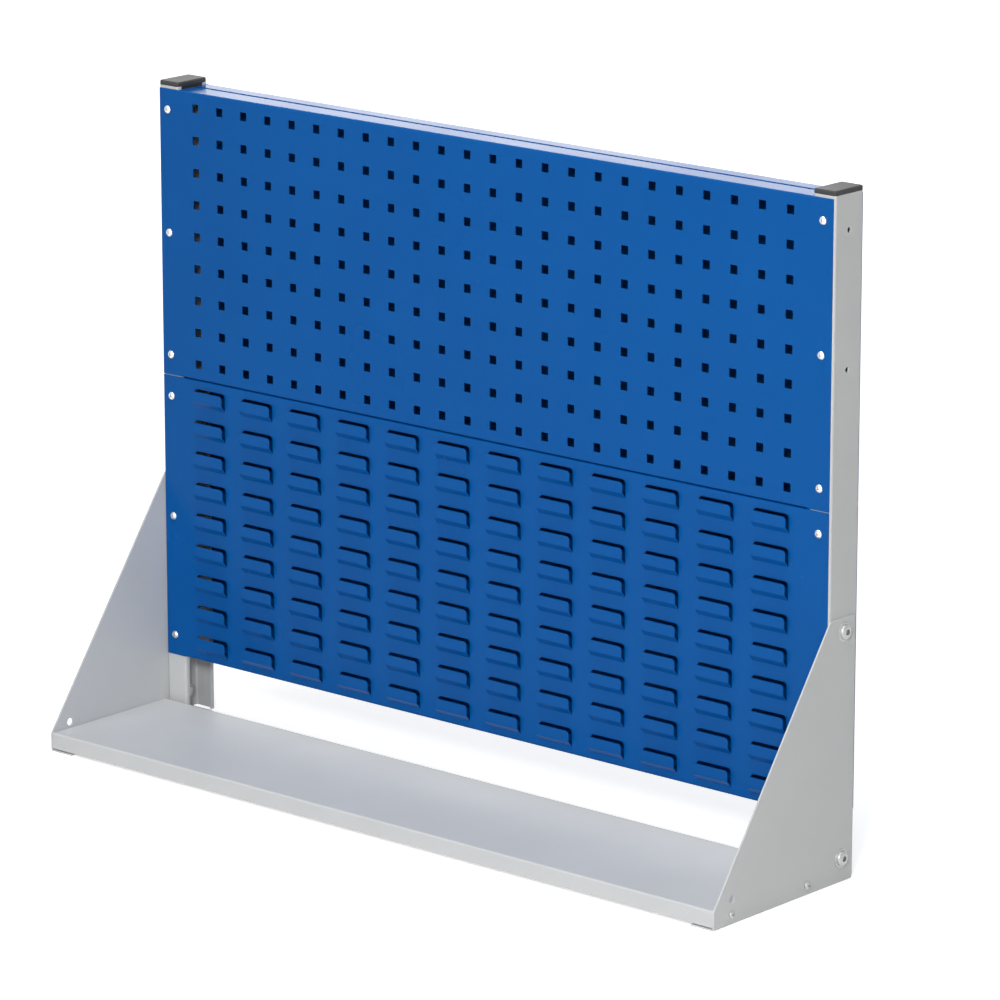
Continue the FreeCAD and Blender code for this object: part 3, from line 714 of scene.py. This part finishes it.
# Shape turned about Z from a profile of (radius, height), which starts and ends on the axis
def turnedPiece(name, profile, count):
    points = [(0, 0, profile[0][1])]
    for radius, z in profile[1:-1]:
        for step in range(count):
            turn = 2 * math.pi * (step + 0.5) / count
            points.append((radius * math.cos(turn), radius * math.sin(turn), z))
    points.append((0, 0, profile[-1][1]))
    rings = len(profile) - 2
    walls = []
    for step in range(count):
        after = (step + 1) % count
        walls.append((0, 1 + step, 1 + after))
        for ring in range(rings - 1):
            low, high = 1 + ring * count, 1 + (ring + 1) * count
            walls.append((low + step, high + step, high + after, low + after))
        last = 1 + (rings - 1) * count
        walls.append((last + after, last + step, len(points) - 1))
    piece = newPiece(name, points, walls)
    weldPiece(piece)
    return piece


def prism(name, outline, lowZ, highZ, lowScale=1.0):
    count = len(outline)
    points = [(x * lowScale, y * lowScale, lowZ) for x, y in outline] + [(x, y, highZ) for x, y in outline]
    walls = [tuple(range(count))[::-1], tuple(range(count, 2 * count))]
    walls += [(i, (i + 1) % count, count + (i + 1) % count, count + i) for i in range(count)]
    return newPiece(name, points, walls)


def cutAway(piece, tool):
    cut = piece.modifiers.new("recess", "BOOLEAN")
    cut.operation = "DIFFERENCE"
    cut.solver = "EXACT"
    cut.object = tool
    bakeModifiers(piece)
    bpy.data.objects.remove(tool)
    weldPiece(piece)
    return piece


# Keeps each corner's place on the fastener, for the turning rings of the plating
def markAroundAxis(piece):
    places = piece.data.attributes.new("aroundAxis", "FLOAT_VECTOR", "POINT")
    for index, corner in enumerate(piece.data.vertices):
        places.data[index].vector = corner.co
    return piece


def panHeadScrew():
    sizes = screwSizes
    head, shank = sizes["headDiameter"] / 2, sizes["diameter"] / 2
    rise = sizes["headHeight"] - sizes["headRim"]
    domeRadius = (head**2 + rise**2) / (2 * rise)
    widest = math.asin(head / domeRadius)
    profile = [(0, sizes["headHeight"])]
    steps = sizes["domeSteps"]
    for step in range(1, steps + 1):
        turn = widest * step / steps
        profile.append((domeRadius * math.sin(turn), sizes["headHeight"] - domeRadius * (1 - math.cos(turn))))
    profile += [(head, 0), (shank, 0), (shank, -sizes["length"] + sizes["tipChamfer"])]
    profile += [(shank - sizes["tipChamfer"], -sizes["length"]), (0, -sizes["length"])]
    piece = turnedPiece("panHeadScrew", profile, sizes["sides"])
    a, b = sizes["recessLength"] / 2, sizes["recessWidth"] / 2
    cross = [(a, -b), (a, b), (b, b), (b, a), (-b, a), (-b, b)]
    cross += [(-x, -y) for x, y in cross]
    floor, top = sizes["headHeight"] - sizes["recessDepth"], sizes["headHeight"] + recessOverlap
    cutAway(piece, prism("crossTool", cross, floor, top, sizes["recessTaper"]))
    softenEdges(piece, sizes["edgeRounding"], **turnedEdges)
    return markAroundAxis(piece)


def domeHeadBolt():
    sizes = boltSizes
    shank, flange = sizes["diameter"] / 2, sizes["flangeDiameter"] / 2
    dome, flat = sizes["domeDiameter"] / 2, sizes["flatDiameter"] / 2
    low, top = sizes["flangeHeight"], sizes["headHeight"]
    foot = sizes["domeFoot"]
    profile = [(0, top), (flat, top)]
    steps = sizes["domeSteps"]
    for step in range(1, steps + 1):
        turn = math.pi / 2 * step / steps
        height = foot + (1 - foot) * math.cos(turn)
        profile.append((flat + (dome - flat) * math.sin(turn), low + (top - low) * height))
    profile += [(dome, low), (flange - sizes["rimInset"], low - sizes["rimDrop"])]
    profile += [(flange, sizes["rimShare"] * low), (flange, 0), (shank, 0)]
    profile += [(shank, -sizes["length"] + sizes["tipChamfer"])]
    profile += [(shank - sizes["tipChamfer"], -sizes["length"]), (0, -sizes["length"])]
    piece = turnedPiece("domeHeadBolt", profile, sizes["sides"])
    corner = sizes["socketWidth"] / math.sqrt(3)
    turns = [math.radians(60 * i) for i in range(6)]
    hexagon = [(corner * math.cos(turn), corner * math.sin(turn)) for turn in turns]
    cutAway(piece, prism("socketTool", hexagon, top - sizes["socketDepth"], top + recessOverlap))
    softenEdges(piece, sizes["edgeRounding"], **turnedEdges)
    return markAroundAxis(piece)


# Copies one fastener to its places: the head points along outward, across and up give a count and a step
def setOut(name, fastener, material, outward, first, across, up):
    piece = bpy.data.objects.new(name, fastener.data.copy())
    bpy.context.scene.collection.objects.link(piece)
    turn = Vector((0, 0, 1)).rotation_difference(Vector(outward)).to_matrix().to_4x4()
    piece.data.transform(turn)
    return shapeWith(piece, rowsTree, {
        "First": vectorOf(*first), "Count Across": across[0], "Step Across": vectorOf(*across[1]),
        "Count Up": up[0], "Step Up": vectorOf(*up[1]), "Material": material,
    })


screw = panHeadScrew()
bolt = domeHeadBolt()
places = fastenerPlaces["panelScrews"]
for node, name, bottom, y, outward in (
    ("perforated_panel_screws", "perforatedPanelScrews", upper, places["frontY"], (0, -1, 0)),
    ("louvre_panel_screws", "louvrePanelScrews", lower, places["frontY"], (0, -1, 0)),
    ("rear_panel_upper_screws", "rearPanelUpperScrews", upper, places["rearY"], (0, 1, 0)),
    ("rear_panel_lower_screws", "rearPanelLowerScrews", lower, places["rearY"], (0, 1, 0)),
):
    first = (-places["x"], y, bottom + panelSizes["height"] / 2 - places["spacing"])
    across, up = (2, (2 * places["x"], 0, 0)), (panelSizes["screwsUp"], (0, 0, places["spacing"]))
    screws = setOut(name, screw, brightZinc, outward, first, across, up)
    dress(screws, brightZinc, "zinc_plated_steel", node)
for side, sign in (("left", -1), ("right", 1)):
    outward, single = (sign, 0, 0), (1, (0, 0, 0))
    places = fastenerPlaces["plateBolts"]
    lowest, highest = places["heights"]
    first = (sign * places["x"], places["y"], lowest)
    up = (2, (0, 0, highest - lowest))
    bolts = setOut("plateBolts" + side.capitalize(), bolt, dullZinc, outward, first, single, up)
    dress(bolts, dullZinc, "zinc_plated_steel", "plate_bolts_" + side)
    places = fastenerPlaces["trayScrews"]
    front, back = places["y"]
    first = (sign * places["x"], front, places["z"])
    across = (2, (0, back - front, 0))
    screws = setOut("trayScrews" + side.capitalize(), screw, dullZinc, outward, first, across, single)
    dress(screws, dullZinc, "zinc_plated_steel", "tray_screws_" + side)
for spare in (screw, bolt):
    bpy.data.objects.remove(spare)
for node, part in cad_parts.items():  # nuts and washers keep their own solids
    if "nuts" in node or "washers" in node:
        part.data.materials.clear()
        part.data.materials.append(dullZinc)
print("screws and bolts made")


# Floor, light and camera

studio = {
    "worldLevel": 0.08, "aimHeight": 0.38,
    "floorColor": (0.86, 0.86, 0.86), "floorRoughness": 0.9, "floorSpecular": 0.1, "floorSize": 60.0,
    "floorGlow": (0.62, 1.0), "glowReach": (1.5, 4.0),  # near the stand, for its shadow, and far from it
    "lamps": {  # turned: degrees to the right of the front
        "keyLamp": {"turned": 35, "up": 23, "distance": 4.8, "size": (0.6, 0.6), "power": 96.0},
        "rightFrontSoftbox": {"turned": 38, "up": 18, "distance": 4.6, "size": (2.4, 2.0), "power": 40.0},
        "frontSoftbox": {"turned": 0, "up": 25, "distance": 4.5, "size": (2.6, 2.0), "power": 22.0},
        "aboveSoftbox": {"turned": 10, "up": 80, "distance": 3.4, "size": (3.0, 2.0), "power": 82.0},
        "behindSoftbox": {"turned": 219, "up": 14, "distance": 4.3, "size": (2.0, 0.9), "power": 14.0},
    },
}
cameraPlace = {
    "place": (4.095, -4.614, 1.972), "down": 14.61, "turned": 40.96, "lens": 205.75,
    "sensor": 36.0, "farthest": 100.0,
}


def seenDirectly(tree):  # 1 for camera, mirror and see-through rays, as the white backdrop shows to them
    path = addNode(tree, "ShaderNodeLightPath").outputs
    seen = path["Is Camera Ray"]
    for label in ("Is Glossy Ray", "Is Transmission Ray"):
        seen = addNode(tree, "ShaderNodeMath", {0: seen, 1: path[label]}, operation="MAXIMUM").outputs[0]
    return seen


def buildFloor():
    half = studio["floorSize"] / 2
    mesh = bpy.data.meshes.new("floor")
    corners = [(-half, -half, 0), (half, -half, 0), (half, half, 0), (-half, half, 0)]
    mesh.from_pydata(corners, [], [(0, 1, 2, 3)])
    floor = bpy.data.objects.new("floor", mesh)
    bpy.context.scene.collection.objects.link(floor)
    material = bpy.data.materials.new("paleFloor")
    material.use_nodes = True
    tree = material.node_tree
    shader = tree.nodes["Principled BSDF"]
    shader.inputs["Base Color"].default_value = (*studio["floorColor"], 1.0)
    shader.inputs["Roughness"].default_value = studio["floorRoughness"]
    shader.inputs["Specular IOR Level"].default_value = studio["floorSpecular"]
    place = addNode(tree, "ShaderNodeTexCoord").outputs["Object"]
    reach = addNode(tree, "ShaderNodeVectorMath", {0: place}, operation="LENGTH").outputs["Value"]
    near, far = studio["glowReach"]
    nearGlow, farGlow = studio["floorGlow"]
    level = addNode(
        tree, "ShaderNodeMapRange",
        {"Value": reach, "From Min": near, "From Max": far, "To Min": nearGlow, "To Max": farGlow},
    )
    glow = addNode(tree, "ShaderNodeMath", {0: seenDirectly(tree), 1: level.outputs[0]}, operation="MULTIPLY")
    emission = addNode(tree, "ShaderNodeEmission", {"Strength": glow.outputs[0]})
    both = addNode(tree, "ShaderNodeAddShader", {0: shader.outputs[0], 1: emission.outputs[0]})
    tree.links.new(both.outputs[0], tree.nodes["Material Output"].inputs["Surface"])
    mesh.materials.append(material)


def buildWorld():
    world = bpy.data.worlds.new("studio")
    bpy.context.scene.world = world
    world.use_nodes = True
    tree = world.node_tree
    soft = tree.nodes["Background"]
    soft.inputs["Color"].default_value = (1.0, 1.0, 1.0, 1.0)
    soft.inputs["Strength"].default_value = studio["worldLevel"]
    white = addNode(tree, "ShaderNodeBackground", {"Color": (1.0, 1.0, 1.0, 1.0), "Strength": 1.0})
    mix = addNode(
        tree, "ShaderNodeMixShader", {0: seenDirectly(tree), 1: soft.outputs[0], 2: white.outputs[0]}
    )
    tree.links.new(mix.outputs[0], tree.nodes["World Output"].inputs["Surface"])


def addLamp(name, look):
    light = bpy.data.lights.new(name, "AREA")
    light.shape = "RECTANGLE"
    light.size, light.size_y = look["size"]
    light.energy = look["power"]
    turned, up = math.radians(look["turned"]), math.radians(look["up"])
    away = Vector((math.sin(turned) * math.cos(up), -math.cos(turned) * math.cos(up), math.sin(up)))
    lamp = bpy.data.objects.new(name, light)
    lamp.location = Vector((0, 0, studio["aimHeight"])) + look["distance"] * away
    lamp.rotation_euler = away.to_track_quat("Z", "Y").to_euler()
    lamp.visible_camera = False
    bpy.context.scene.collection.objects.link(lamp)


buildFloor()
buildWorld()
for name, look in studio["lamps"].items():
    addLamp(name, look)

cameraData = bpy.data.cameras.new("camera")
cameraData.lens = cameraPlace["lens"]
cameraData.sensor_width = cameraPlace["sensor"]
cameraData.clip_end = cameraPlace["farthest"]
camera = bpy.data.objects.new("camera", cameraData)
camera.location = cameraPlace["place"]
camera.rotation_euler = (math.radians(90 - cameraPlace["down"]), 0, math.radians(cameraPlace["turned"]))
bpy.context.scene.collection.objects.link(camera)
bpy.context.scene.camera = camera
bpy.context.scene.view_settings.view_transform = "Standard"
print("floor, light and camera set")
